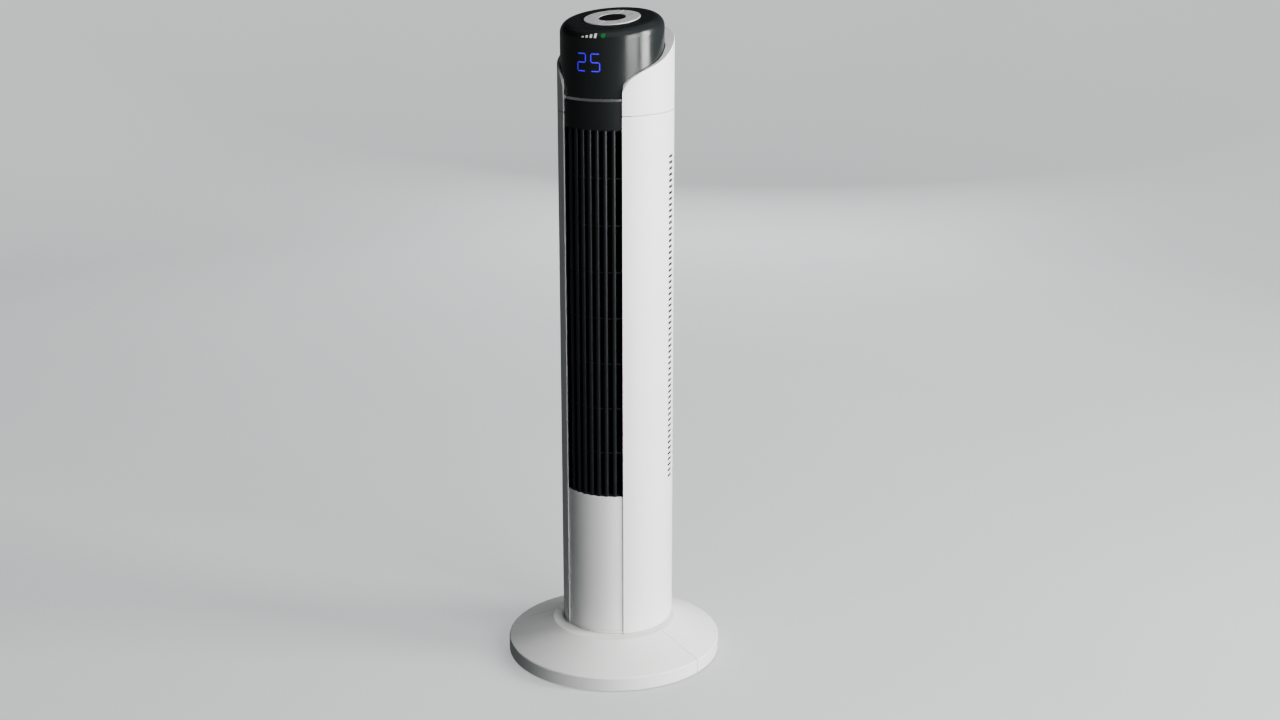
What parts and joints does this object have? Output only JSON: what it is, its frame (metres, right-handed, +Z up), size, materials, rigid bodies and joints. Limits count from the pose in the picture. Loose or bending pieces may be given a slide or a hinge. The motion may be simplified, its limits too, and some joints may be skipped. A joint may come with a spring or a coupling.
{
  "type": "tower fan",
  "caption": "Slim free-standing tower fan: round base, oscillating oval column with an upright outlet grille, and a round black control head with ring keys.",
  "frame": {"origin": "centre of the round base on the floor", "axes": "+Z up along the column, -Y towards the front (outlet grille and display), +X to the viewer's right when facing the front"},
  "size_m": [0.3, 0.3, 0.902],
  "materials": {
    "white_shell": "white moulded casing, fine satin grain",
    "white_frame": "white structural moulding",
    "black_panel": "black satin moulding",
    "grille_black": "deep black satin moulding",
    "black_gloss": "black high gloss",
    "dark_plastic": "dark internal moulding",
    "silver_key": "silver painted satin",
    "button_black": "black satin gloss",
    "trim_chrome": "dark chrome strip",
    "digit_blue": "lit blue light pipe",
    "mark_white": "lit white light pipe",
    "led_green": "lit green light pipe",
    "circuit_board": "glass fibre board with solder mask",
    "steel": "plain steel",
    "zinc_screw": "zinc plated",
    "laminated_steel": "laminated stack",
    "cast_ballast": "cast ballast, dark paint",
    "aluminium": "die cast",
    "copper": "enamelled copper winding",
    "bronze": "sintered bronze",
    "rubber": "black rubber",
    "nylon": "natural nylon",
    "impeller_plastic": "glass filled plastic"
  },
  "bodies": {
    "base": {"base_front_cover": "white_shell", "base_rear_cover": "white_shell", "base_plate": "dark_plastic", "ballast_ring": "cast_ballast", "base_screws": "zinc_screw", "rubber_feet": "rubber", "base_core": "white_frame", "slide_ring": "nylon", "pivot_post": "steel", "sector_gear": "nylon", "post_circlip": "zinc_screw", "cord_gland": "rubber"},
    "tower": {"turntable_plate": "white_frame", "rear_shell": "white_shell", "rear_spine": "dark_plastic", "shell_screws": "zinc_screw", "top_collar": "white_shell", "lower_front_cover": "white_shell", "front_grille": "grille_black", "upper_front_panel": "black_panel", "trim_strip": "trim_chrome", "head_housing": "black_gloss", "head_pedestal": "dark_plastic", "display_digits": "digit_blue", "level_marks": "mark_white", "power_led": "led_green", "digit_block": "dark_plastic", "display_board": "circuit_board", "control_board": "circuit_board", "board_posts": "dark_plastic", "tact_switches": "dark_plastic", "duct_floor": "dark_plastic", "duct_ceiling": "dark_plastic", "duct_scroll": "dark_plastic", "duct_tongue": "dark_plastic", "bearing_bush": "bronze", "bearing_rubber": "rubber", "motor_stator": "laminated_steel", "motor_windings": "copper", "motor_lower_bell": "aluminium", "motor_upper_bell": "aluminium", "motor_mount_plate": "steel", "motor_grommets": "rubber", "motor_screws": "zinc_screw", "oscillation_bracket": "steel", "oscillation_motor": "aluminium", "motor_capacitor": "dark_plastic", "terminal_block": "nylon"},
    "blower": {"impeller": "impeller_plastic", "end_pin": "steel", "drive_shaft": "steel", "motor_rotor": "laminated_steel"},
    "pinion": {"drive_pinion": "nylon"},
    "centre_button": {"centre_button": "button_black"},
    "key_right_rear": {"ring_key_right_rear": "silver_key"},
    "key_left_rear": {"ring_key_left_rear": "silver_key"},
    "key_left_front": {"ring_key_left_front": "silver_key"},
    "key_right_front": {"ring_key_right_front": "silver_key"}
  },
  "joints": [
    {"name": "oscillation", "type": "hinge", "parent": "base", "child": "tower", "pos_m": [0, 0, 0.0486], "axis": [0, 0, 1], "range_deg": [-35, 35]},
    {"name": "blower_spin", "type": "hinge", "parent": "tower", "child": "blower", "pos_m": [0, 0.024, 0.262], "axis": [0, 0, 1], "continuous": true},
    {"name": "pinion_spin", "type": "hinge", "parent": "tower", "child": "pinion", "pos_m": [0, 0.0381, 0.064], "axis": [0, 0, 1], "range_deg": [-131.25, 131.25]},
    {"name": "centre_button_press", "type": "slide", "parent": "tower", "child": "centre_button", "axis": [0, 0.165, -0.9863], "range_m": [0, 0.0008], "stiffness_N_per_m": 900, "springref_m": -0.0006},
    {"name": "key_right_rear_press", "type": "slide", "parent": "tower", "child": "key_right_rear", "axis": [0, 0.165, -0.9863], "range_m": [0, 0.0008], "stiffness_N_per_m": 900, "springref_m": -0.0006},
    {"name": "key_left_rear_press", "type": "slide", "parent": "tower", "child": "key_left_rear", "axis": [0, 0.165, -0.9863], "range_m": [0, 0.0008], "stiffness_N_per_m": 900, "springref_m": -0.0006},
    {"name": "key_left_front_press", "type": "slide", "parent": "tower", "child": "key_left_front", "axis": [0, 0.165, -0.9863], "range_m": [0, 0.0008], "stiffness_N_per_m": 900, "springref_m": -0.0006},
    {"name": "key_right_front_press", "type": "slide", "parent": "tower", "child": "key_right_front", "axis": [0, 0.165, -0.9863], "range_m": [0, 0.0008], "stiffness_N_per_m": 900, "springref_m": -0.0006}
  ],
  "couplings": [
    {"joint": "pinion_spin", "follows": "oscillation", "ratio": 3.75}
  ]
}
